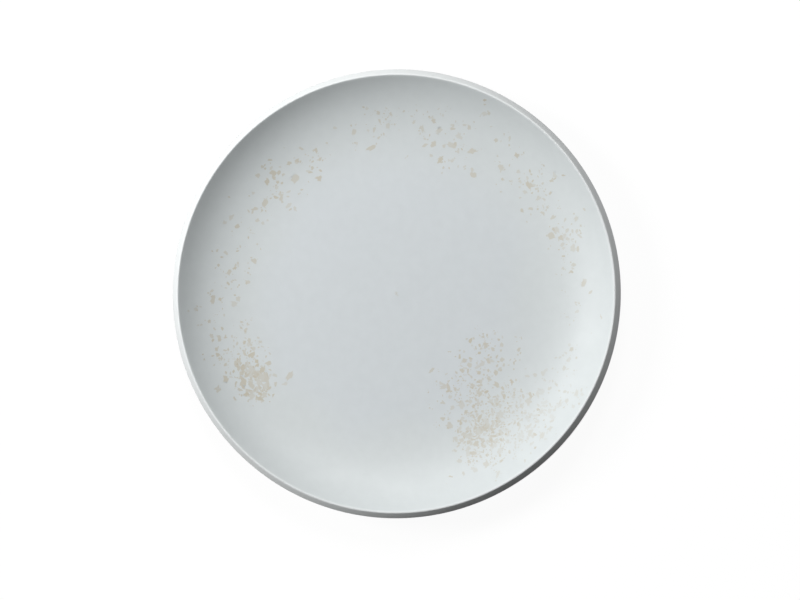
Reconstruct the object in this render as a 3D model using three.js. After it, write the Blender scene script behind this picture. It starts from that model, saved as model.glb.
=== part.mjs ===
// Side plate: a shallow coupe plate of fired clay, glazed all over except where its foot ring stands.
// Every piece is turned about the plate's own axis. Millimetres, +Z up, origin on the axis at table level.

import * as THREE from "three";

// Driving dimensions of the finished plate
const plateDiameter = 170; // across the outer edge of the lip
const wellDiameter = 70; // level middle of the eating face
const wellDepth = 10.4; // crest of the lip down to the well
const covePower = 4; // how late the wall turns up: 2 is a parabola, more stays flat for longer
const lipWidth = 2.4; // crest of the lip out to its outer edge, seen from above
const lipDrop = 2.9; // crest of the lip down to its outer edge
const lipRounding = 0.6; // radius of the crest and of the outer edge
const floorThickness = 4; // well to underside
const footHeight = 3; // underside to table
const footDiameter = 98; // outside of the foot ring at the underside
const footWidth = 5.2; // foot ring at the underside
const footDraft = THREE.MathUtils.degToRad(10); // taper of each side of the foot ring
const footFillet = 1.2; // radius between the foot ring and the underside
const footRounding = 0.6; // radius of both edges that meet the table
const bareFootHeight = 0.8; // foot ring wiped clean of glaze, up from the table
const glazeThickness = 0.3;
const glazeSeam = 0.02; // line between a glaze and the body that it is fired onto

// Fineness of the facets
const turnSteps = 60; // round the plate
const coveSteps = 10; // up the wall
const arcSteps = 2; // round each edge or fillet

// A point of an outline: distance from the axis, and height above the table.
function at(radius, height) {
  return new THREE.Vector2(radius, height);
}

// A direction of length 1, by its angle above straight outwards.
function facing(angle) {
  return at(Math.cos(angle), Math.sin(angle));
}

// Levels and places that follow from the dimensions
const undersideLevel = footHeight;
const wellLevel = undersideLevel + floorThickness;
const crestLevel = wellLevel + wellDepth;
const wellEdge = at(wellDiameter / 2, wellLevel);

// Lip: two rounded edges, the crest and the outer edge, joined by a bevel that is tangent to both
const crestCentre = at(plateDiameter / 2 - lipWidth, crestLevel - lipRounding);
const outerCentre = at(plateDiameter / 2 - lipRounding, crestLevel - lipDrop);
const bevel = outerCentre.clone().sub(crestCentre);
const bevelFacing = bevel.angle() - 1.5 * Math.PI;

// The wall leaves the well level and tilts more and more until its two sides reach the lip, both at one slope.
const rimSlope = Math.atan2(covePower * wellDepth, crestCentre.x - wellEdge.x);
const faceFacing = rimSlope + Math.PI / 2;
const backFacing = rimSlope - Math.PI / 2;
const faceEnd = crestCentre.clone().addScaledVector(facing(faceFacing), lipRounding);
const backEnd = outerCentre.clone().addScaledVector(facing(backFacing), lipRounding);

// Foot ring: its two roots at the underside, and its sides as they lean in towards the table
const outerFootRoot = at(footDiameter / 2, undersideLevel);
const innerFootRoot = at(outerFootRoot.x - footWidth, undersideLevel);
const outerFlank = (height) => at(outerFootRoot.x - (footHeight - height) * Math.tan(footDraft), height);
const innerFlank = (height) => at(innerFootRoot.x + (footHeight - height) * Math.tan(footDraft), height);

// A point of a run that starts level and turns up by a power, at a share of the way to its end.
function cove(start, end, power, share) {
  const span = end.clone().sub(start);
  return at(start.x + span.x * share, start.y + span.y * share ** power);
}

// The eating face of the wall, from the edge of the well (share 0) to the lip (share 1).
function coveFace(share) {
  return cove(wellEdge, faceEnd, covePower, share);
}

// The back of the wall, from the foot ring (share 0) to the lip (share 1). Its power gives it the rim's slope.
function coveBack(share) {
  const span = backEnd.clone().sub(outerFootRoot);
  return cove(outerFootRoot, backEnd, (Math.tan(rimSlope) * span.x) / span.y, share);
}

// An arc about a centre, from one direction to another.
function arc(centre, radius, from, to) {
  const points = [];
  for (let step = 0; step <= arcSteps; step += 1) {
    const direction = facing(THREE.MathUtils.lerp(from, to, step / arcSteps));
    points.push(centre.clone().addScaledVector(direction, radius));
  }
  return points;
}

// An arc of this radius in place of the corner between two straight runs.
function rounded(before, corner, after, radius) {
  const arriving = corner.clone().sub(before).normalize();
  const leaving = after.clone().sub(corner).normalize();
  const turn = Math.atan2(arriving.cross(leaving), arriving.dot(leaving));
  const start = corner.clone().addScaledVector(arriving, -radius * Math.tan(Math.abs(turn) / 2));
  const towardsStart = arriving.angle() - Math.sign(turn) * (Math.PI / 2);
  const centre = start.clone().addScaledVector(facing(towardsStart), -radius);
  return arc(centre, radius, towardsStart, towardsStart + turn);
}

// The outline moved into the clay by an even depth. The open air is on the left of its direction of travel.
function inset(outline, depth) {
  const normals = outline.slice(1).map((point, index) => {
    const along = point.clone().sub(outline[index]).normalize();
    return at(-along.y, along.x);
  });
  return outline.map((point, index) => {
    const before = normals[Math.max(index - 1, 0)];
    const after = normals[Math.min(index, normals.length - 1)];
    const shift = before.clone().add(after).multiplyScalar(depth / (1 + before.dot(after)));
    return point.clone().sub(shift);
  });
}

// Glazed surface of the face: from the axis across the well and up the wall to the crest of the lip
const shares = Array.from({ length: coveSteps }, (_, step) => step / coveSteps);
const faceOutline = [
  at(0, wellLevel),
  ...shares.map(coveFace),
  ...arc(crestCentre, lipRounding, faceFacing, Math.PI / 2),
];

// Glazed surface of the outside: from the crest over the lip, down the back and onto the foot ring
const outerGlazeLine = outerFlank(bareFootHeight);
const outerOutline = [
  ...arc(crestCentre, lipRounding, Math.PI / 2, bevelFacing),
  ...arc(outerCentre, lipRounding, bevelFacing, 0),
  ...arc(outerCentre, lipRounding, 0, backFacing).slice(1),
  ...shares.slice(1).map(coveBack).toReversed(),
  ...rounded(coveBack(shares[1]), outerFootRoot, outerGlazeLine, footFillet),
  outerGlazeLine,
];

// Glazed surface inside the foot ring: up its inner side and across the underside to the axis
const innerGlazeLine = innerFlank(bareFootHeight);
const baseOutline = [
  innerGlazeLine,
  ...rounded(innerGlazeLine, innerFootRoot, at(0, undersideLevel), footFillet),
  at(0, undersideLevel),
];

// Face and outside are one run of glaze, so their backs are found together and then parted at the crest.
const topOutline = [...faceOutline, ...outerOutline.slice(1)];
const topBack = inset(topOutline, glazeThickness).toReversed();
const outerBack = topBack.slice(0, outerOutline.length);
const faceBack = topBack.slice(outerOutline.length - 1);
const baseBack = inset(baseOutline, glazeThickness).toReversed();

// The clay under the glaze, and the bare foot that carries on from it to the table
const topClay = inset(topOutline, glazeThickness + glazeSeam);
const baseClay = inset(baseOutline, glazeThickness + glazeSeam);
const flankInset = at((glazeThickness + glazeSeam) / Math.cos(footDraft), 0);
const outerToe = outerFlank(0).sub(flankInset);
const innerToe = innerFlank(0).add(flankInset);
const bodyOutline = [
  ...topClay,
  ...rounded(topClay.at(-1), outerToe, innerToe, footRounding),
  ...rounded(outerToe, innerToe, baseClay[0], footRounding),
  ...baseClay,
];

// A solid turned from an outline that closes on itself or on the axis, stood up so that its axis is Z.
function turned(name, outline, finish) {
  const geometry = new THREE.LatheGeometry(outline.toReversed(), turnSteps).rotateX(Math.PI / 2);
  const mesh = new THREE.Mesh(geometry, new THREE.MeshStandardMaterial(finish));
  mesh.name = name;
  return mesh;
}

const firedClay = { color: 0xe2ddd2, roughness: 0.85, metalness: 0 };
const satinGlaze = { color: 0xcbd2d4, roughness: 0.4, metalness: 0 };

const plate = new THREE.Group();
plate.add(
  turned("clay_body", bodyOutline, firedClay),
  turned("face_glaze", [...faceOutline, ...faceBack], satinGlaze),
  turned("outer_glaze", [...outerOutline, ...outerBack, outerOutline[0]], satinGlaze),
  turned("base_glaze", [...baseBack, ...baseOutline], satinGlaze),
);

export default plate;
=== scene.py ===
"""A coupe side plate with a satin blue-grey glaze and beige spatter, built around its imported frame.

Lengths are metres and +Z is up. The plate turns about the Z axis and stands on the table at zero.
"""

import math
from typing import NamedTuple

import bpy
from bpy.props import FloatProperty, FloatVectorProperty, IntProperty, PointerProperty
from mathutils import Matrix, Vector


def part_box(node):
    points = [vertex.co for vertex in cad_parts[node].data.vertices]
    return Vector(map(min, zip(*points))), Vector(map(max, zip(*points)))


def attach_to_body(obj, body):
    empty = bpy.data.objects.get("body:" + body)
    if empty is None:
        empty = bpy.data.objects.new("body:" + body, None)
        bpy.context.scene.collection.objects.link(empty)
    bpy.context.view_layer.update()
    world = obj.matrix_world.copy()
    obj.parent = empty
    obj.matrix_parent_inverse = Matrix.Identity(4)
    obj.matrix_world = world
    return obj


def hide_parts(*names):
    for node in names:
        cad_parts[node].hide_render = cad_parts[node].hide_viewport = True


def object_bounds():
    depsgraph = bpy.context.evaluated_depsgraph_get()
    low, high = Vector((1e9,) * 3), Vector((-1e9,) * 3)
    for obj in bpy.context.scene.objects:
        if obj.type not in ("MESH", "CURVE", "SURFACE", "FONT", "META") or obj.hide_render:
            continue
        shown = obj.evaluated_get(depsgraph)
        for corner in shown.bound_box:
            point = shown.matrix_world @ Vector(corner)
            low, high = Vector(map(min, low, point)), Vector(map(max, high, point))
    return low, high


bl_info = {
    "name": "Spattered Side Plate",
    "version": (1, 0, 0),
    "blender": (4, 5, 0),
    "location": "3D View > Sidebar > Side Plate",
    "description": "Turns, glazes and spatters a coupe side plate and lights it in a small studio",
    "category": "Object",
}

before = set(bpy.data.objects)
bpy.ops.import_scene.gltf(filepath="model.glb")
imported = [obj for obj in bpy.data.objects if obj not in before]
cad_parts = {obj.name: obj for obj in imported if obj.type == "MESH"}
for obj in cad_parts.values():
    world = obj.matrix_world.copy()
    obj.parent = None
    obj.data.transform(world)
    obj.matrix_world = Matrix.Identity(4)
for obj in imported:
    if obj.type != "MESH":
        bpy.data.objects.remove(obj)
cad_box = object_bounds()
face_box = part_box("face_glaze")
base_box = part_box("base_glaze")

GLAZE_COAT = 0.0003


# Properties

def length(name, description, default):
    """A size of the plate or the studio, in metres."""
    return FloatProperty(
        name=name, description=description, default=default, min=0.0, unit="LENGTH", precision=4
    )


def angle(name, description, degrees):
    """An angle, given in degrees and kept in radians."""
    return FloatProperty(name=name, description=description, default=math.radians(degrees), subtype="ANGLE")


def colour(name, description, default):
    """A linear colour."""
    return FloatVectorProperty(
        name=name, description=description, default=default, size=3, min=0.0, max=1.0, subtype="COLOR"
    )


def power(name, description, watts):
    """The power of a light."""
    return FloatProperty(name=name, description=description, default=watts, min=0.0, unit="POWER")


def share(name, description, default):
    """A plain number, nothing or more."""
    return FloatProperty(name=name, description=description, default=default, min=0.0, soft_max=2.0)


class PlateShape(bpy.types.PropertyGroup):
    """Sizes of the turned plate."""

    diameter: length("Diameter", "Across the outer edge of the lip", cad_box[1].x - cad_box[0].x)
    height: length("Height", "Table to the crest of the lip", cad_box[1].z)
    well_level: length("Well level", "Table to the well", face_box[0].z + GLAZE_COAT)
    well_diameter: length("Well diameter", "Level middle of the eating face", 0.070)
    cove_power: FloatProperty(
        name="Cove power", description="How late the wall turns up: 2 is a parabola", default=4.0, min=1.0
    )
    lip_width: length("Lip width", "Crest out to the outer edge of the lip", cad_box[1].x - face_box[1].x)
    lip_drop: length("Lip drop", "Crest down to the outer edge of the lip", 0.0029)
    lip_rounding: length("Lip rounding", "Radius of the crest and of the outer edge", 0.0006)
    underside: length("Underside", "Table to the glazed underside", base_box[1].z - GLAZE_COAT)
    glaze_line: length("Glaze line", "Table to the edge of the glaze on the foot ring", base_box[0].z)
    foot_diameter: length("Foot diameter", "Outside of the foot ring at the underside", 0.098)
    foot_width: length("Foot width", "Foot ring at the underside", 0.0052)
    foot_draft: angle("Foot draft", "Taper of each side of the foot ring", 10.0)
    foot_fillet: length("Foot fillet", "Radius between the foot ring and the underside", 0.0012)
    foot_rounding: length("Foot rounding", "Radius of the edges that meet the table", 0.0006)
    glaze_coat: length("Glaze coat", "Thickness of each glaze", GLAZE_COAT)
    glaze_seam: length("Glaze seam", "Line between a glaze and the clay", 0.00002)
    pip_diameter: length("Pip diameter", "Faint bulge left at the turning centre", 0.009)
    pip_height: length("Pip height", "How far the pip stands above the well", 0.00008)
    turn_steps: IntProperty(name="Turn steps", description="Facets round the plate", default=256, min=24)


class GlazeLook(bpy.types.PropertyGroup):
    """Colours of the clay and the main glaze."""

    centre: colour("Centre", "Glaze in the middle of the well", (0.577, 0.612, 0.629))
    cove: colour("Cove", "Glaze at the foot of the wall", (0.579, 0.613, 0.617))
    wall: colour("Wall", "Glaze on the steep of the wall", (0.593, 0.628, 0.632))
    lip: colour("Lip", "Glaze where it thins over the lip", (0.760, 0.785, 0.785))
    clay: colour("Clay", "Bare fired clay of the foot ring", (0.74, 0.70, 0.62))
    toast: colour("Toast", "Clay and glaze browned along the glaze line", (0.52, 0.44, 0.34))


class SpatterLook(bpy.types.PropertyGroup):
    """The flicked drops of the second glaze."""

    colour: colour("Colour", "Full strength of the second glaze", (0.500, 0.465, 0.380))
    drop_radius: length("Drop radius", "Middling drop", 0.00036)
    size_spread: share("Size spread", "How far drops differ in size", 0.55)
    throw: share("Throw", "How far small drops land from the main one, in its radii", 2.6)
    rise: length("Rise", "How far the middle of a drop stands above the glaze", 0.000006)
    amount: share("Amount", "Share of the full number of splashes", 1.0)
    seed: IntProperty(name="Seed", description="Another seed flicks the drops anew", default=7)


class StudioSetup(bpy.types.PropertyGroup):
    """Camera and lights."""

    focal_length: FloatProperty(
        name="Focal length", description="Lens in millimetres", default=85.0, min=10.0
    )
    camera_distance: length("Camera distance", "Lens to the crest of the lip", 0.7112)
    camera_tilt: angle("Camera tilt", "Away from straight down", 5.0)
    camera_bearing: angle("Camera bearing", "Side that the camera leans to, from +X towards +Y", -30.0)
    light_distance: length("Light distance", "Plate to each of the two lights", 1.65)
    light_size: length("Light size", "Side of each square light", 0.5)
    side_bearing: angle("Side bearing", "Where the side light stands, from +X towards +Y", 165.0)
    side_height: angle("Side height", "Side light above the horizon", 40.0)
    side_power: power("Side power", "Strength of the side light", 22.6)
    top_bearing: angle("Top bearing", "Where the top light stands, from +X towards +Y", 90.0)
    top_height: angle("Top height", "Top light above the horizon", 50.0)
    top_power: power("Top power", "Strength of the top light", 14.8)
    ambient: share("Ambient", "Light from all round the studio", 0.055)
    floor_bounce: share("Floor bounce", "How pale the floor is to the plate", 0.10)


# Outlines of the plate, as points of radius and height with the open air on the left

ARC_STEPS = 6
COVE_STEPS = 36
PIP_STEPS = 8


def at(radius, height):
    """A point of an outline."""
    return Vector((radius, height))


def facing(direction):
    """A step of length 1, by its angle above straight outwards."""
    return at(math.cos(direction), math.sin(direction))


def arc(centre, radius, start, end):
    """Points about a centre, from one direction to another."""
    turns = [start + (end - start) * step / ARC_STEPS for step in range(ARC_STEPS + 1)]
    return [centre + facing(turn) * radius for turn in turns]


def rounded(before, corner, after, radius):
    """An arc in place of the corner between two straight runs."""
    arriving = (corner - before).normalized()
    leaving = (after - corner).normalized()
    turn = math.atan2(arriving.x * leaving.y - arriving.y * leaving.x, arriving.dot(leaving))
    begin = corner - arriving * radius * math.tan(abs(turn) / 2)
    towards_begin = math.atan2(arriving.y, arriving.x) - math.copysign(math.pi / 2, turn)
    return arc(begin - facing(towards_begin) * radius, radius, towards_begin, towards_begin + turn)


def inset(outline, depth):
    """The outline moved into the clay by an even depth."""
    normals = []
    for start, end in zip(outline, outline[1:]):
        along = (end - start).normalized()
        normals.append(at(-along.y, along.x))
    moved = []
    for index, point in enumerate(outline):
        before = normals[max(index - 1, 0)]
        after = normals[min(index, len(normals) - 1)]
        moved.append(point - (before + after) * depth / (1.0 + before.dot(after)))
    return moved


class Outlines(NamedTuple):
    """Half-sections of the plate's four bodies."""

    clay: list
    face: list
    outer: list
    base: list


def plate_outlines(shape):
    """Works out the half-sections from the plate's sizes."""
    well_edge = at(shape.well_diameter / 2, shape.well_level)
    crest_centre = at(shape.diameter / 2 - shape.lip_width, shape.height - shape.lip_rounding)
    outer_centre = at(shape.diameter / 2 - shape.lip_rounding, shape.height - shape.lip_drop)
    bevel = outer_centre - crest_centre
    bevel_facing = math.atan2(bevel.y, bevel.x) + math.pi / 2
    depth = shape.height - shape.well_level
    rim_slope = math.atan2(shape.cove_power * depth, crest_centre.x - well_edge.x)
    face_facing = rim_slope + math.pi / 2
    back_facing = rim_slope - math.pi / 2
    outer_root = at(shape.foot_diameter / 2, shape.underside)
    inner_root = at(outer_root.x - shape.foot_width, shape.underside)
    face_span = crest_centre + facing(face_facing) * shape.lip_rounding - well_edge
    back_span = outer_centre + facing(back_facing) * shape.lip_rounding - outer_root
    back_power = math.tan(rim_slope) * back_span.x / back_span.y

    def cove_face(part):
        return well_edge + at(face_span.x * part, face_span.y * part**shape.cove_power)

    def cove_back(part):
        return outer_root + at(back_span.x * part, back_span.y * part**back_power)

    def pip(part):
        lift = shape.pip_height * (1 + math.cos(math.pi * part)) / 2
        return at(part * shape.pip_diameter / 2, shape.well_level + lift)

    parts = [step / COVE_STEPS for step in range(COVE_STEPS)]
    face = [
        *(pip(step / PIP_STEPS) for step in range(PIP_STEPS + 1)),
        *(cove_face(part) for part in parts),
        *arc(crest_centre, shape.lip_rounding, face_facing, math.pi / 2),
    ]

    lean = math.tan(shape.foot_draft)

    def flank(root, height, side):
        return at(root.x - side * (root.y - height) * lean, height)

    clear_of_fillet = 2 * shape.foot_fillet / back_span.x
    back_parts = [part for part in parts if part > clear_of_fillet]
    outer_line = flank(outer_root, shape.glaze_line, 1)
    outer = [
        *arc(crest_centre, shape.lip_rounding, math.pi / 2, bevel_facing),
        *arc(outer_centre, shape.lip_rounding, bevel_facing, back_facing),
        *(cove_back(part) for part in reversed(back_parts)),
        *rounded(cove_back(back_parts[0]), outer_root, outer_line, shape.foot_fillet),
        outer_line,
    ]
    inner_line = flank(inner_root, shape.glaze_line, -1)
    underside_centre = at(0.0, shape.underside)
    base = [
        inner_line,
        *rounded(inner_line, inner_root, underside_centre, shape.foot_fillet),
        underside_centre,
    ]

    # Face and outside are one run of glaze, so their backs are found together and then parted at the crest.
    top = face + outer[1:]
    top_back = inset(top, shape.glaze_coat)
    face_back = top_back[: len(face)]
    outer_back = top_back[len(face) - 1 :]
    base_back = inset(base, shape.glaze_coat)

    clay_depth = shape.glaze_coat + shape.glaze_seam
    top_clay = inset(top, clay_depth)
    base_clay = inset(base, clay_depth)
    flank_inset = at(clay_depth / math.cos(shape.foot_draft), 0.0)
    outer_toe = flank(outer_root, 0.0, 1) - flank_inset
    inner_toe = flank(inner_root, 0.0, -1) + flank_inset
    clay = [
        *top_clay,
        *rounded(top_clay[-1], outer_toe, inner_toe, shape.foot_rounding),
        *rounded(outer_toe, inner_toe, base_clay[0], shape.foot_rounding),
        *base_clay,
    ]
    return Outlines(
        clay=clay,
        face=face + face_back[::-1],
        outer=outer + outer_back[::-1] + outer[:1],
        base=base_back[::-1] + base,
    )


# Node trees

NODE_SPACING = 180.0
CREASE_ANGLE = math.radians(40.0)
MERGE_DISTANCE = 1e-6


class NodeDesk:
    """Adds nodes to one tree and links what is handed to their inputs."""

    def __init__(self, tree):
        self.tree = tree

    def add(self, kind, inputs=None, **settings):
        """A node with its settings, its inputs given by place or name."""
        node = self.tree.nodes.new(kind)
        node.location.x = NODE_SPACING * len(self.tree.nodes)
        for name, value in settings.items():
            setattr(node, name, value)
        self.feed(node, inputs or {})
        return node

    def feed(self, node, inputs):
        """Links outputs of other nodes to a node's inputs, and sets the rest to plain values."""
        for key, value in inputs.items():
            socket = self.socket(node.inputs, key)
            if isinstance(value, bpy.types.NodeSocket):
                self.tree.links.new(value, socket)
            else:
                socket.default_value = value

    @staticmethod
    def socket(sockets, key):
        """The socket at a place, or the one in use with a name."""
        if isinstance(key, int):
            return sockets[key]
        return next(socket for socket in sockets if socket.name == key and socket.enabled)

    def out(self, kind, output, inputs=None, **settings):
        """One output of a new node."""
        return self.socket(self.add(kind, inputs, **settings).outputs, output)

    def math(self, operation, *values):
        """A sum on plain numbers."""
        return self.out("ShaderNodeMath", 0, dict(enumerate(values)), operation=operation)

    def whole(self, operation, *values):
        """A sum on whole numbers."""
        return self.out("FunctionNodeIntegerMath", 0, dict(enumerate(values)), operation=operation)

    def vector(self, operation, *values):
        """A sum on vectors that gives a vector."""
        return self.out("ShaderNodeVectorMath", "Vector", dict(enumerate(values)), operation=operation)

    def scaled(self, vector, factor):
        """A vector made longer or shorter."""
        return self.out("ShaderNodeVectorMath", "Vector", {0: vector, "Scale": factor}, operation="SCALE")

    def ranged(self, value, low, high, start, end, **settings):
        """A straight change from start to end as the value goes from low to high."""
        limits = {"Value": value, "From Min": low, "From Max": high, "To Min": start, "To Max": end}
        return self.out("ShaderNodeMapRange", "Result", limits, **settings)

    def eased(self, value, low, high, start=0.0, end=1.0):
        """A smooth step from start to end as the value goes from low to high."""
        return self.ranged(value, low, high, start, end, interpolation_type="SMOOTHSTEP")

    def mixed(self, factor, first, second, blend="MIX"):
        """A blend of two colours."""
        inputs = {"Factor": factor, "A": first, "B": second}
        return self.out("ShaderNodeMix", "Result", inputs, data_type="RGBA", blend_type=blend)


def cleared_desk(owner):
    """A desk at the emptied node tree of a material or a world."""
    owner.use_nodes = True
    owner.node_tree.nodes.clear()
    return NodeDesk(owner.node_tree)


def geometry_tree(name, inputs):
    """A geometry node tree with named inputs after its geometry. Gives the tree and its desk."""
    tree = bpy.data.node_groups.new(name, "GeometryNodeTree")
    tree.interface.new_socket("Geometry", in_out="OUTPUT", socket_type="NodeSocketGeometry")
    tree.interface.new_socket("Geometry", in_out="INPUT", socket_type="NodeSocketGeometry")
    for label, kind in inputs:
        tree.interface.new_socket(label, in_out="INPUT", socket_type=f"NodeSocket{kind}")
    return tree, NodeDesk(tree)


def finish_tree(desk, geometry, material):
    """Ends a tree in one plain mesh with its material."""
    whole = desk.out("GeometryNodeRealizeInstances", "Geometry", {"Geometry": geometry})
    painted = desk.out("GeometryNodeSetMaterial", "Geometry", {"Geometry": whole, "Material": material})
    desk.add("NodeGroupOutput", {"Geometry": painted})


def smoothed(desk, geometry, crease_angle):
    """Smooth shading that stops at every edge sharper than the crease angle."""
    smooth = desk.out("GeometryNodeSetShadeSmooth", "Geometry", {"Geometry": geometry, "Shade Smooth": True})
    bend = desk.out("GeometryNodeInputMeshEdgeAngle", "Unsigned Angle")
    sharp = desk.out("FunctionNodeCompare", "Result", {"A": bend, "B": crease_angle})
    return desk.out("GeometryNodeSetShadeSmooth", "Geometry", {
        "Geometry": smooth, "Selection": sharp, "Shade Smooth": False,
    }, domain="EDGE")


def run_tree(piece, tree, values):
    """Runs a tree on a piece and keeps the result as the piece's own plain mesh."""
    modifier = piece.modifiers.new(tree.name, "NODES")
    modifier.node_group = tree
    for item in tree.interface.items_tree:
        if item.in_out == "INPUT" and item.name in values:
            modifier[item.identifier] = values[item.name]
    graph = bpy.context.evaluated_depsgraph_get()
    made = bpy.data.meshes.new_from_object(piece.evaluated_get(graph), depsgraph=graph)
    rough = piece.data
    piece.modifiers.remove(modifier)
    piece.data = made
    bpy.data.meshes.remove(rough)
    made.name = piece.name
    if not made.polygons:
        raise RuntimeError(f"{piece.name} came out empty")
    # A mesh that started without a material has an empty slot before the tree's own.
    if made.materials[0] is None:
        made.materials.pop(index=0)


def turning_tree():
    """A tree that turns an outline in the XZ plane about the Z axis."""
    tree, desk = geometry_tree("Turn Outline", (
        ("Turn Steps", "Int"), ("Crease Angle", "Float"), ("Merge Distance", "Float"),
        ("Material", "Material"),
    ))
    given = desk.add("NodeGroupInput").outputs
    rings = desk.out("GeometryNodeAttributeDomainSize", "Point Count", {"Geometry": given["Geometry"]})
    spokes = desk.whole("ADD", given["Turn Steps"], 1)
    sheet = desk.out("GeometryNodeMeshGrid", "Mesh", {"Vertices X": rings, "Vertices Y": spokes})
    index = desk.out("GeometryNodeInputIndex", "Index")
    ring_point = desk.out("GeometryNodeSampleIndex", "Value", {
        "Geometry": given["Geometry"],
        "Value": desk.out("GeometryNodeInputPosition", "Position"),
        "Index": desk.whole("DIVIDE_FLOOR", index, spokes),
    }, data_type="FLOAT_VECTOR")
    turned_part = desk.math("DIVIDE", desk.whole("MODULO", index, spokes), given["Turn Steps"])
    turned_point = desk.out("ShaderNodeVectorRotate", "Vector", {
        "Vector": ring_point,
        "Angle": desk.math("MULTIPLY", turned_part, math.tau),
    }, rotation_type="Z_AXIS")
    turned = desk.out("GeometryNodeSetPosition", "Geometry", {"Geometry": sheet, "Position": turned_point})
    closed = desk.out("GeometryNodeMergeByDistance", "Geometry", {
        "Geometry": turned, "Distance": given["Merge Distance"],
    })
    finish_tree(desk, smoothed(desk, closed, given["Crease Angle"]), given["Material"])
    return tree


def turn_piece(name, outline, material, turn_steps, tree):
    """A new object turned from an outline."""
    mesh = bpy.data.meshes.new(name)
    mesh.from_pydata([(point.x, 0.0, point.y) for point in outline], [], [])
    piece = bpy.data.objects.new(name, mesh)
    bpy.context.scene.collection.objects.link(piece)
    run_tree(piece, tree, {
        "Turn Steps": turn_steps,
        "Crease Angle": CREASE_ANGLE,
        "Merge Distance": MERGE_DISTANCE,
        "Material": material,
    })
    return piece


def attach(piece, slot, *nodes):
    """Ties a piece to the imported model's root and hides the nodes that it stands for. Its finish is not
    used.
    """
    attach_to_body(piece, "root")
    if nodes:
        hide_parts(*nodes)


# Materials

SATIN_ROUGHNESS = 0.5
SPATTER_ROUGHNESS = 0.55
GLAZE_SHINE = 0.3
NOISE_LOW = 0.3
NOISE_HIGH = 0.7


def rgba(value):
    """A colour property as a socket takes it."""
    return (*value, 1.0)


def new_material(name):
    """An empty material. Gives it with its desk, its shader and the object's own coordinates."""
    material = bpy.data.materials.new(name)
    desk = cleared_desk(material)
    shader = desk.add("ShaderNodeBsdfPrincipled")
    desk.add("ShaderNodeOutputMaterial", {"Surface": shader.outputs["BSDF"]})
    place = desk.out("ShaderNodeTexCoord", "Object")
    return material, desk, shader, place


def cloud(desk, place, size, detail=2.0, roughness=0.5):
    """Soft noise whose blobs are about this size across."""
    return desk.out("ShaderNodeTexNoise", 0, {
        "Vector": place, "Scale": 1.0 / size, "Detail": detail, "Roughness": roughness,
    })


def varied(desk, noise, low, high):
    """Noise stretched to run from low to high, since nearly all of it lies between the limits above."""
    return desk.ranged(noise, NOISE_LOW, NOISE_HIGH, low, high)


def hypotenuse(desk, first, second):
    """The long side of a right-angled triangle."""
    squares = [desk.math("POWER", side, 2.0) for side in (first, second)]
    return desk.math("SQRT", desk.math("ADD", *squares))


def glaze_colour(desk, place, shape, look):
    """The main glaze: bluer in the well, greyer on the wall, paler where it thins over the lip."""
    split = desk.add("ShaderNodeSeparateXYZ", {0: place}).outputs
    radius = hypotenuse(desk, split["X"], split["Y"])
    edge = shape.diameter / 2
    sway = 0.012
    drift = desk.ranged(cloud(desk, place, 0.03), 0.0, 1.0, -sway, sway)
    well_ends, cove_starts = 0.48 * edge, 0.74 * edge
    outwards = desk.eased(desk.math("ADD", radius, drift), well_ends, cove_starts)
    colour = desk.mixed(outwards, rgba(look.centre), rgba(look.cove))
    cove_ends, wall_starts = 0.72 * edge, 0.86 * edge
    upwards = desk.eased(radius, cove_ends, wall_starts)
    colour = desk.mixed(upwards, colour, rgba(look.wall))
    out = desk.math("SUBTRACT", radius, edge - 0.5 * shape.lip_width)
    up = desk.math("SUBTRACT", split["Z"], shape.height - 0.5 * shape.lip_drop)
    from_lip = hypotenuse(desk, out, up)
    lip_ends, thick_starts = 0.7 * shape.lip_width, 0.95 * shape.lip_width
    thin = desk.eased(from_lip, lip_ends, thick_starts, 1.0, 0.0)
    colour = desk.mixed(thin, colour, rgba(look.lip))
    mottling = 0.015
    grain = cloud(desk, place, 0.004, detail=4.0, roughness=0.6)
    mottle = varied(desk, grain, 1.0 - mottling, 1.0 + mottling)
    shade = desk.out("ShaderNodeCombineColor", "Color", {0: mottle, 1: mottle, 2: mottle})
    return desk.mixed(1.0, colour, shade, "MULTIPLY")


def glaze_skin(desk, shader, place, roughness):
    """Satin gloss that varies a little, with the fine orange peel of a fired glaze."""
    change = 0.04
    sheen = cloud(desk, place, 0.009, detail=3.0)
    gloss = varied(desk, sheen, roughness - change, roughness + change)
    peel = cloud(desk, place, 0.0016)
    bump = desk.out("ShaderNodeBump", "Normal", {"Height": peel, "Strength": 0.25, "Distance": 0.00003})
    desk.feed(shader, {"Specular IOR Level": GLAZE_SHINE, "Roughness": gloss, "Normal": bump})


def satin_glaze(shape, look):
    """The main glaze, with a browned line where it stops on the foot ring."""
    material, desk, shader, place = new_material("satin_glaze")
    colour = glaze_colour(desk, place, shape, look)
    height = desk.add("ShaderNodeSeparateXYZ", {0: place}).outputs["Z"]
    sway, brown_width, brownest = 0.00015, 0.0006, 0.7
    ragged = desk.math("ADD", height, varied(desk, cloud(desk, place, 0.003), -sway, sway))
    browned = desk.eased(ragged, shape.glaze_line, shape.glaze_line + brown_width, brownest, 0.0)
    desk.feed(shader, {"Base Color": desk.mixed(browned, colour, rgba(look.toast))})
    glaze_skin(desk, shader, place, SATIN_ROUGHNESS)
    return material


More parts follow.
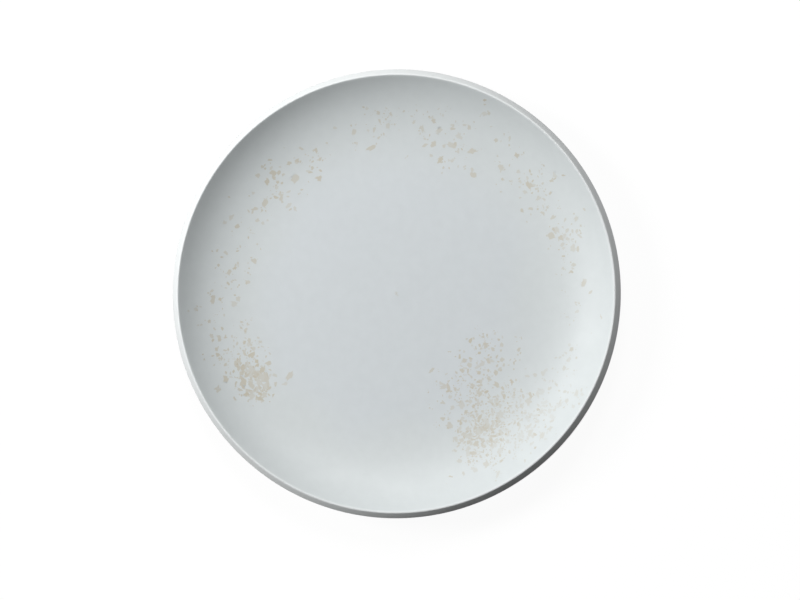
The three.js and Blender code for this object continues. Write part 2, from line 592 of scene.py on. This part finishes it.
def bare_clay(shape, look):
    """Fired clay, sponged smooth, with fine dark grains and a browned line below the glaze."""
    material, desk, shader, place = new_material("fired_clay")
    height = desk.add("ShaderNodeSeparateXYZ", {0: place}).outputs["Z"]
    brown_starts, brownest = 0.4 * shape.glaze_line, 0.45
    browned = desk.eased(height, brown_starts, shape.glaze_line, 0.0, brownest)
    colour = desk.mixed(browned, rgba(look.clay), rgba(look.toast))
    speckle = cloud(desk, place, 0.0007, detail=3.0, roughness=0.7)
    grain_starts, grain_full, darkest_grain = 0.6, 0.75, 0.35
    grain = desk.eased(speckle, grain_starts, grain_full, 0.0, darkest_grain)
    colour = desk.mixed(grain, colour, rgba(look.toast))
    smoothest, roughest = 0.72, 0.9
    rub = varied(desk, cloud(desk, place, 0.005, detail=3.0), smoothest, roughest)
    tooth = cloud(desk, place, 0.0004, detail=4.0, roughness=0.65)
    bump = desk.out("ShaderNodeBump", "Normal", {"Height": tooth, "Strength": 0.4, "Distance": 0.00005})
    desk.feed(shader, {"Base Color": colour, "Roughness": rub, "Normal": bump})
    return material


def spatter_glaze(shape, look, spatter):
    """The second glaze: beige in the middle of a drop, melted into the main glaze at its edge."""
    material, desk, shader, place = new_material("spatter_glaze")
    under = glaze_colour(desk, place, shape, look)
    body = desk.out("ShaderNodeAttribute", "Fac", attribute_name="drop_body")
    strength = desk.out("ShaderNodeAttribute", "Fac", attribute_name="drop_strength")
    full_body = 0.6
    shown = desk.math("MULTIPLY", desk.eased(body, 0.0, full_body), strength)
    desk.feed(shader, {"Base Color": desk.mixed(shown, under, rgba(spatter.colour))})
    glaze_skin(desk, shader, place, SPATTER_ROUGHNESS)
    return material


# Spatter

class Spray(NamedTuple):
    """One flick of the brush: where it lands, how far it spreads, and how coarse and strong it is."""

    bearing: float
    reach: float
    along: float
    across: float
    splashes: int
    coarse: float
    strength: float


SPRAYS = (
    Spray(bearing=212.0, reach=0.0630, along=0.0036, across=0.0026, splashes=64, coarse=2.2, strength=1.0),
    Spray(bearing=206.0, reach=0.0655, along=0.0060, across=0.0045, splashes=50, coarse=1.5, strength=0.85),
    Spray(bearing=194.0, reach=0.0665, along=0.0080, across=0.0045, splashes=38, coarse=1.5, strength=0.85),
    Spray(bearing=163.0, reach=0.0645, along=0.0110, across=0.0045, splashes=42, coarse=1.7, strength=0.9),
    Spray(bearing=129.0, reach=0.0610, along=0.0110, across=0.0045, splashes=34, coarse=1.5, strength=0.85),
    Spray(bearing=97.0, reach=0.0670, along=0.0090, across=0.0035, splashes=16, coarse=1.6, strength=0.85),
    Spray(bearing=72.0, reach=0.0640, along=0.0120, across=0.0055, splashes=42, coarse=1.5, strength=0.85),
    Spray(bearing=40.0, reach=0.0665, along=0.0120, across=0.0045, splashes=44, coarse=1.6, strength=0.85),
    Spray(bearing=15.0, reach=0.0672, along=0.0090, across=0.0028, splashes=28, coarse=1.5, strength=0.85),
    Spray(bearing=-12.0, reach=0.0690, along=0.0080, across=0.0045, splashes=10, coarse=1.2, strength=0.6),
    Spray(bearing=-44.0, reach=0.0430, along=0.0090, across=0.0055, splashes=85, coarse=1.4, strength=0.95),
    Spray(bearing=-53.0, reach=0.0600, along=0.0075, across=0.0065, splashes=210, coarse=1.4, strength=0.85),
    Spray(bearing=-62.0, reach=0.0700, along=0.0060, across=0.0040, splashes=30, coarse=1.3, strength=0.75),
    Spray(bearing=-40.0, reach=0.0700, along=0.0120, across=0.0050, splashes=90, coarse=1.6, strength=0.45),
    Spray(bearing=-45.0, reach=0.0450, along=0.0090, across=0.0060, splashes=9, coarse=2.5, strength=0.9),
)


def spray_mesh(amount):
    """One point for each spray, with its spread, coarseness, strength and number of splashes."""
    mesh = bpy.data.meshes.new("sprays")
    points = []
    for spray in SPRAYS:
        turn = math.radians(spray.bearing)
        points.append((spray.reach * math.cos(turn), spray.reach * math.sin(turn), 0.0))
    mesh.from_pydata(points, [], [])
    for name in ("along", "across", "coarse", "strength"):
        values = mesh.attributes.new(name, "FLOAT", "POINT").data
        values.foreach_set("value", [getattr(spray, name) for spray in SPRAYS])
    splashes = mesh.attributes.new("splashes", "INT", "POINT").data
    splashes.foreach_set("value", [round(spray.splashes * amount) for spray in SPRAYS])
    return mesh


def drop_mesh():
    """A closed lens with radius and half height 1: a crown, a shoulder, a rim and a keel."""
    rim_points = 12
    shoulder_radius, shoulder_height = 0.62, 0.75
    turns = [math.tau * step / rim_points for step in range(rim_points)]
    points = [(0.0, 0.0, 1.0), (0.0, 0.0, -1.0)]
    for radius, height in ((shoulder_radius, shoulder_height), (1.0, 0.0)):
        points += [(radius * math.cos(turn), radius * math.sin(turn), height) for turn in turns]
    faces = []
    for step in range(rim_points):
        shoulder, next_shoulder = 2 + step, 2 + (step + 1) % rim_points
        rim, next_rim = shoulder + rim_points, next_shoulder + rim_points
        faces.append((0, shoulder, next_shoulder))
        faces.append((shoulder, rim, next_rim, next_shoulder))
        faces.append((1, next_rim, rim))
    mesh = bpy.data.meshes.new("drop")
    mesh.from_pydata(points, [], faces)
    return mesh


def attribute(desk, name, kind="FLOAT"):
    """Reads a named attribute."""
    return desk.out("GeometryNodeInputNamedAttribute", "Attribute", {"Name": name}, data_type=kind)


def stored(desk, geometry, name, value, kind="FLOAT"):
    """Keeps a value on each point under a name."""
    return desk.out("GeometryNodeStoreNamedAttribute", "Geometry", {
        "Geometry": geometry, "Name": name, "Value": value,
    }, data_type=kind)


def dropped(desk, face, place):
    """Where a point lands when it falls straight onto the face. Gives the raycast's outputs."""
    start, fall = 0.1, 1.0
    split = desk.add("ShaderNodeSeparateXYZ", {0: place}).outputs
    above = desk.out("ShaderNodeCombineXYZ", "Vector", {"X": split["X"], "Y": split["Y"], "Z": start})
    return desk.add("GeometryNodeRaycast", {
        "Target Geometry": face, "Source Position": above,
        "Ray Direction": (0.0, 0.0, -1.0), "Ray Length": fall,
    }).outputs


class Dice:
    """Seeded chances in a tree. Every throw has a seed of its own."""

    def __init__(self, desk, seed):
        self.desk = desk
        self.seed = seed
        self.throws = 0

    def even(self, low, high, kind="FLOAT"):
        """Any value between two limits."""
        self.throws += 1
        seed = self.desk.whole("ADD", self.seed, self.throws)
        limits = {"Min": low, "Max": high, "Seed": seed}
        return self.desk.out("FunctionNodeRandomValue", "Value", limits, data_type=kind)

    def bell(self):
        """X, Y and Z that fall close to a bell curve of width 1, each the sum of three even throws."""
        first, second, third = (self.even((-1.0,) * 3, (1.0,) * 3, "FLOAT_VECTOR") for _ in range(3))
        total = self.desk.vector("ADD", self.desk.vector("ADD", first, second), third)
        return self.desk.add("ShaderNodeSeparateXYZ", {0: total}).outputs


def flung_splashes(desk, dice, given):
    """Points flung from each spray, with the size of the splash that each one makes."""
    points = desk.out("GeometryNodeMeshToPoints", "Points", {"Mesh": given["Geometry"]})
    copies = desk.out("GeometryNodeDuplicateElements", "Geometry", {
        "Geometry": points, "Amount": attribute(desk, "splashes", "INT"),
    }, domain="POINT")
    place = desk.out("GeometryNodeInputPosition", "Position")
    stray = dice.bell()
    reach = desk.out("ShaderNodeVectorMath", "Value", {0: place}, operation="LENGTH")
    new_reach = desk.math("ADD", reach, desk.math("MULTIPLY", stray["Y"], attribute(desk, "across")))
    swing = desk.math("DIVIDE", desk.math("MULTIPLY", stray["X"], attribute(desk, "along")), reach)
    outward = desk.scaled(desk.vector("NORMALIZE", place), new_reach)
    landing = desk.out("ShaderNodeVectorRotate", "Vector", {
        "Vector": outward, "Angle": swing,
    }, rotation_type="Z_AXIS")
    grown = desk.math("EXPONENT", desk.math("MULTIPLY", stray["Z"], given["Size Spread"]))
    coarse = desk.math("MULTIPLY", grown, attribute(desk, "coarse"))
    radius = desk.math("MULTIPLY", coarse, given["Drop Radius"])
    sized = stored(desk, copies, "drop_radius", radius)
    return desk.out("GeometryNodeSetPosition", "Geometry", {"Geometry": sized, "Position": landing})


def broken_drops(desk, dice, splashes, given):
    """Each splash as one main drop with a few small ones thrown round it."""
    fewest, most = 1, 5
    copies = desk.add("GeometryNodeDuplicateElements", {
        "Geometry": splashes, "Amount": dice.even(fewest, most, "INT"),
    }, domain="POINT").outputs
    small = desk.math("MINIMUM", copies["Duplicate Index"], 1.0)
    size = attribute(desk, "drop_radius")
    stray = dice.bell()
    throw = desk.math("MULTIPLY", desk.math("MULTIPLY", size, given["Throw"]), small)
    aside = desk.out("ShaderNodeCombineXYZ", "Vector", {"X": stray["X"], "Y": stray["Y"]})
    scattered = desk.out("GeometryNodeSetPosition", "Geometry", {
        "Geometry": copies["Geometry"], "Offset": desk.scaled(aside, throw),
    })
    least_lost, most_lost = 0.25, 0.75
    lost = desk.math("MULTIPLY", small, dice.even(least_lost, most_lost))
    left = desk.math("SUBTRACT", 1.0, lost)
    drops = stored(desk, scattered, "drop_radius", desk.math("MULTIPLY", size, left))
    faintest, fullest = 0.4, 1.0
    shown = desk.math("MULTIPLY", attribute(desk, "strength"), dice.even(faintest, fullest))
    drops = stored(desk, drops, "drop_strength", shown)
    return stored(desk, drops, "drop_number", dice.even(0.0, 1000.0))


def laid_drops(desk, dice, drops, face, drop, given):
    """A lens laid flat on the face at every point, none of them over the edge of the face."""
    place = desk.out("GeometryNodeInputPosition", "Position")
    landed = dropped(desk, face, place)
    tilted = stored(desk, drops, "face_normal", landed["Hit Normal"], "FLOAT_VECTOR")
    lying = desk.out("GeometryNodeSetPosition", "Geometry", {
        "Geometry": tilted, "Position": landed["Hit Position"],
    })
    lying = stored(desk, lying, "drop_place", place, "FLOAT_VECTOR")
    size = attribute(desk, "drop_radius")
    roundest, longest = 1.0, 2.2
    stretch = desk.math("SQRT", dice.even(roundest, longest))
    flat = 0.0001
    scale = desk.out("ShaderNodeCombineXYZ", "Vector", {
        "X": desk.math("MULTIPLY", size, stretch), "Y": desk.math("DIVIDE", size, stretch), "Z": flat,
    })
    spin = desk.out("FunctionNodeAxisAngleToRotation", "Rotation", {
        "Axis": (0.0, 0.0, 1.0), "Angle": dice.even(0.0, math.tau),
    })
    normal = attribute(desk, "face_normal", "FLOAT_VECTOR")
    tilt = desk.out("FunctionNodeAlignRotationToVector", "Rotation", {"Rotation": spin, "Vector": normal})
    from_axis = desk.out("ShaderNodeVectorMath", "Value", {
        0: desk.vector("MULTIPLY", place, (1.0, 1.0, 0.0)),
    }, operation="LENGTH")
    room_in_radii = 2.0
    edge_room = desk.math("SUBTRACT", given["Edge Radius"], desk.math("MULTIPLY", size, room_in_radii))
    on_face = desk.out("FunctionNodeCompare", "Result", {
        "A": from_axis, "B": edge_room,
    }, operation="LESS_THAN")
    lens = stored(desk, drop, "drop_form", place, "FLOAT_VECTOR")
    laid = desk.out("GeometryNodeInstanceOnPoints", "Instances", {
        "Points": lying, "Selection": on_face, "Instance": lens, "Rotation": tilt, "Scale": scale,
    })
    return desk.out("GeometryNodeRealizeInstances", "Geometry", {"Geometry": laid})


def melted_drops(desk, drops, face, given):
    """Every drop with a ragged outline of its own, melted down to a thin film on the face."""
    place = desk.out("GeometryNodeInputPosition", "Position")
    form = attribute(desk, "drop_form", "FLOAT_VECTOR")
    direction = desk.vector("NORMALIZE", desk.vector("MULTIPLY", form, (1.0, 1.0, 0.0)))
    number = attribute(desk, "drop_number")
    number_place = desk.out("ShaderNodeCombineXYZ", "Vector", {"X": number, "Y": number, "Z": number})
    wobble = desk.out("ShaderNodeTexNoise", 0, {
        "Vector": desk.vector("ADD", direction, number_place), "Scale": 1.6, "Detail": 2.0,
    })
    least_pull, most_pull = 0.5, 1.5
    pull = varied(desk, wobble, least_pull, most_pull)
    home = attribute(desk, "drop_place", "FLOAT_VECTOR")
    pulled = desk.vector("ADD", home, desk.scaled(desk.vector("SUBTRACT", place, home), pull))
    ragged = desk.out("GeometryNodeSetPosition", "Geometry", {"Geometry": drops, "Position": pulled})
    seat = dropped(desk, face, place)
    level = desk.add("ShaderNodeSeparateXYZ", {0: form}).outputs["Z"]
    lift = desk.scaled(seat["Hit Normal"], desk.math("MULTIPLY", level, given["Rise"]))
    seated = desk.out("GeometryNodeSetPosition", "Geometry", {
        "Geometry": ragged, "Position": desk.vector("ADD", seat["Hit Position"], lift),
    })
    film = stored(desk, seated, "drop_body", desk.math("MAXIMUM", level, 0.0))
    rim_crease = math.radians(90.0)
    return smoothed(desk, film, rim_crease)


def spatter_tree():
    """A tree that flicks splashes from each spray, breaks them into drops and melts these onto the face."""
    tree, desk = geometry_tree("Spatter", (
        ("Face", "Object"), ("Drop", "Object"), ("Drop Radius", "Float"), ("Size Spread", "Float"),
        ("Throw", "Float"), ("Rise", "Float"), ("Edge Radius", "Float"), ("Seed", "Int"),
        ("Material", "Material"),
    ))
    given = desk.add("NodeGroupInput").outputs
    dice = Dice(desk, given["Seed"])
    face = desk.out("GeometryNodeObjectInfo", "Geometry", {"Object": given["Face"]})
    drop = desk.out("GeometryNodeObjectInfo", "Geometry", {"Object": given["Drop"]})
    splashes = flung_splashes(desk, dice, given)
    drops = broken_drops(desk, dice, splashes, given)
    laid = laid_drops(desk, dice, drops, face, drop, given)
    finish_tree(desk, melted_drops(desk, laid, face, given), given["Material"])
    return tree


# Operators

class PLATE_OT_turn_clay(bpy.types.Operator):
    """Turn the clay body, of which only the bare foot ring shows"""

    bl_idname = "plate.turn_clay"
    bl_label = "Turn Clay Body"

    def execute(self, context):
        shape = context.scene.plate_shape
        material = bare_clay(shape, context.scene.glaze_look)
        outline = plate_outlines(shape).clay
        body = turn_piece("clay_body_turned", outline, material, shape.turn_steps, turning_tree())
        attach(body, "fired_clay", "clay_body")
        return {"FINISHED"}


class PLATE_OT_fire_glaze(bpy.types.Operator):
    """Coat the face, the outside and the underside with the main glaze"""

    bl_idname = "plate.fire_glaze"
    bl_label = "Fire Glaze"

    def execute(self, context):
        shape = context.scene.plate_shape
        outlines = plate_outlines(shape)
        material = satin_glaze(shape, context.scene.glaze_look)
        tree = turning_tree()
        for coat in ("face", "outer", "base"):
            outline = getattr(outlines, coat)
            piece = turn_piece(f"{coat}_glaze_fired", outline, material, shape.turn_steps, tree)
            attach(piece, "satin_glaze", f"{coat}_glaze")
        return {"FINISHED"}


class PLATE_OT_flick_spatter(bpy.types.Operator):
    """Flick drops of the second glaze over the face"""

    bl_idname = "plate.flick_spatter"
    bl_label = "Flick Spatter"

    def execute(self, context):
        shape = context.scene.plate_shape
        spatter = context.scene.spatter_look
        drop = bpy.data.objects.new("drop", drop_mesh())
        piece = bpy.data.objects.new("face_spatter", spray_mesh(spatter.amount))
        for item in (drop, piece):
            context.scene.collection.objects.link(item)
        run_tree(piece, spatter_tree(), {
            "Face": bpy.data.objects["face_glaze_fired"],
            "Drop": drop,
            "Drop Radius": spatter.drop_radius,
            "Size Spread": spatter.size_spread,
            "Throw": spatter.throw,
            "Rise": spatter.rise,
            "Edge Radius": shape.diameter / 2 - shape.lip_width - shape.lip_rounding,
            "Seed": spatter.seed,
            "Material": spatter_glaze(shape, context.scene.glaze_look, spatter),
        })
        # The loose drop goes with its mesh.
        bpy.data.meshes.remove(drop.data)
        attach(piece, "spatter_glaze")
        return {"FINISHED"}


def seen_directly(desk):
    """1 for what the camera sees, also in a reflection, and 0 for light that falls on the plate."""
    path = desk.add("ShaderNodeLightPath").outputs
    mirrored = desk.math("MAXIMUM", path["Is Glossy Ray"], path["Is Transmission Ray"])
    return desk.math("MAXIMUM", path["Is Camera Ray"], mirrored)


def floor_material(bounce):
    """White to the eye with a faint shadow, and grey to the light that it throws back at the plate."""
    material = bpy.data.materials.new("studio_floor")
    desk = cleared_desk(material)
    glow, lit = 0.95, 0.06
    white = desk.out("ShaderNodeEmission", "Emission", {"Color": (1.0, 1.0, 1.0, 1.0), "Strength": glow})
    shadow = desk.out("ShaderNodeBsdfDiffuse", "BSDF", {"Color": (lit, lit, lit, 1.0)})
    backdrop = desk.out("ShaderNodeAddShader", "Shader", {0: white, 1: shadow})
    grey = desk.out("ShaderNodeBsdfDiffuse", "BSDF", {"Color": (bounce, bounce, bounce, 1.0)})
    surface = desk.out("ShaderNodeMixShader", "Shader", {0: seen_directly(desk), 1: grey, 2: backdrop})
    desk.add("ShaderNodeOutputMaterial", {"Surface": surface})
    return material


def towards(bearing, height):
    """A step of length 1 by its side, from +X towards +Y, and its angle above the horizon."""
    flat = math.cos(height)
    return Vector((flat * math.cos(bearing), flat * math.sin(bearing), math.sin(height)))


def aim(item, target):
    """Turns a camera or lamp to look at a point, with +Y up in its picture."""
    back = (item.location - target).normalized()
    right = Vector((0.0, 1.0, 0.0)).cross(back).normalized()
    up = back.cross(right)
    turn = item.rotation_euler.to_matrix()
    turn.col[0], turn.col[1], turn.col[2] = right, up, back
    item.rotation_euler = turn.to_euler()


class PLATE_OT_set_stage(bpy.types.Operator):
    """Lay the floor, hang the two lights and place the camera"""

    bl_idname = "plate.set_stage"
    bl_label = "Set Stage"

    def execute(self, context):
        scene = context.scene
        studio = scene.studio_setup
        scene.view_settings.view_transform = "Standard"
        self.lay_floor(scene, studio)
        self.light_room(scene, studio)
        self.hang_light(scene, studio, "side")
        self.hang_light(scene, studio, "top")
        self.place_camera(scene, studio)
        return {"FINISHED"}

    @staticmethod
    def lay_floor(scene, studio):
        """A wide flat floor just under the foot ring."""
        half, level = 3.0, -0.0001
        mesh = bpy.data.meshes.new("studio_floor")
        corners = [(-half, -half, level), (half, -half, level), (half, half, level), (-half, half, level)]
        mesh.from_pydata(corners, [], [(0, 1, 2, 3)])
        mesh.materials.append(floor_material(studio.floor_bounce))
        floor = bpy.data.objects.new("studio_floor", mesh)
        scene.collection.objects.link(floor)

    @staticmethod
    def light_room(scene, studio):
        """Dim even light from all round, white where it is seen."""
        world = bpy.data.worlds.new("studio")
        desk = cleared_desk(world)
        plain = (1.0, 1.0, 1.0, 1.0)
        dim = desk.out("ShaderNodeBackground", "Background", {"Strength": studio.ambient, "Color": plain})
        white = desk.out("ShaderNodeBackground", "Background", {"Strength": 1.0, "Color": plain})
        surface = desk.out("ShaderNodeMixShader", "Shader", {0: seen_directly(desk), 1: dim, 2: white})
        desk.add("ShaderNodeOutputWorld", {"Surface": surface})
        scene.world = world

    @staticmethod
    def hang_light(scene, studio, label):
        """One soft square light, aimed at the plate."""
        lamp = bpy.data.lights.new(f"{label}_light", "AREA")
        lamp.shape = "SQUARE"
        lamp.size = studio.light_size
        lamp.energy = getattr(studio, f"{label}_power")
        light = bpy.data.objects.new(f"{label}_light", lamp)
        upwards = towards(getattr(studio, f"{label}_bearing"), getattr(studio, f"{label}_height"))
        light.location = upwards * studio.light_distance
        aim(light, Vector((0.0, 0.0, 0.0)))
        scene.collection.objects.link(light)

    @staticmethod
    def place_camera(scene, studio):
        """A long lens almost straight above, a little off the plate's axis as in the photograph."""
        lens = bpy.data.cameras.new("camera")
        lens.lens = studio.focal_length
        lens.sensor_width = 36.0
        camera = bpy.data.objects.new("camera", lens)
        right, down = 0.0022, 0.0029
        target = Vector((right, -down, scene.plate_shape.height))
        upwards = towards(studio.camera_bearing, math.pi / 2 - studio.camera_tilt)
        camera.location = target + upwards * studio.camera_distance
        aim(camera, target)
        scene.collection.objects.link(camera)
        scene.camera = camera


class PLATE_PT_sidebar(bpy.types.Panel):
    """Sizes, colours and steps of the plate"""

    bl_idname = "PLATE_PT_sidebar"
    bl_label = "Side Plate"
    bl_space_type = "VIEW_3D"
    bl_region_type = "UI"
    bl_category = "Side Plate"

    def draw(self, context):
        for step in STEPS:
            self.layout.operator(step.bl_idname)
        for name, group in GROUPS.items():
            box = self.layout.box()
            for field in group.__annotations__:
                box.prop(getattr(context.scene, name), field)


GROUPS = {
    "plate_shape": PlateShape,
    "glaze_look": GlazeLook,
    "spatter_look": SpatterLook,
    "studio_setup": StudioSetup,
}
STEPS = (PLATE_OT_turn_clay, PLATE_OT_fire_glaze, PLATE_OT_flick_spatter, PLATE_OT_set_stage)


def register():
    """Adds the classes and the scene's settings."""
    for item in (*GROUPS.values(), *STEPS, PLATE_PT_sidebar):
        bpy.utils.register_class(item)
    for name, group in GROUPS.items():
        setattr(bpy.types.Scene, name, PointerProperty(type=group))


def unregister():
    """Takes them away again."""
    for name in GROUPS:
        delattr(bpy.types.Scene, name)
    for item in reversed((*GROUPS.values(), *STEPS, PLATE_PT_sidebar)):
        bpy.utils.unregister_class(item)


def main():
    """Builds the plate and its stage."""
    register()
    bpy.ops.plate.turn_clay()
    bpy.ops.plate.fire_glaze()
    bpy.ops.plate.flick_spatter()
    bpy.ops.plate.set_stage()


if __name__ == "__main__":
    main()
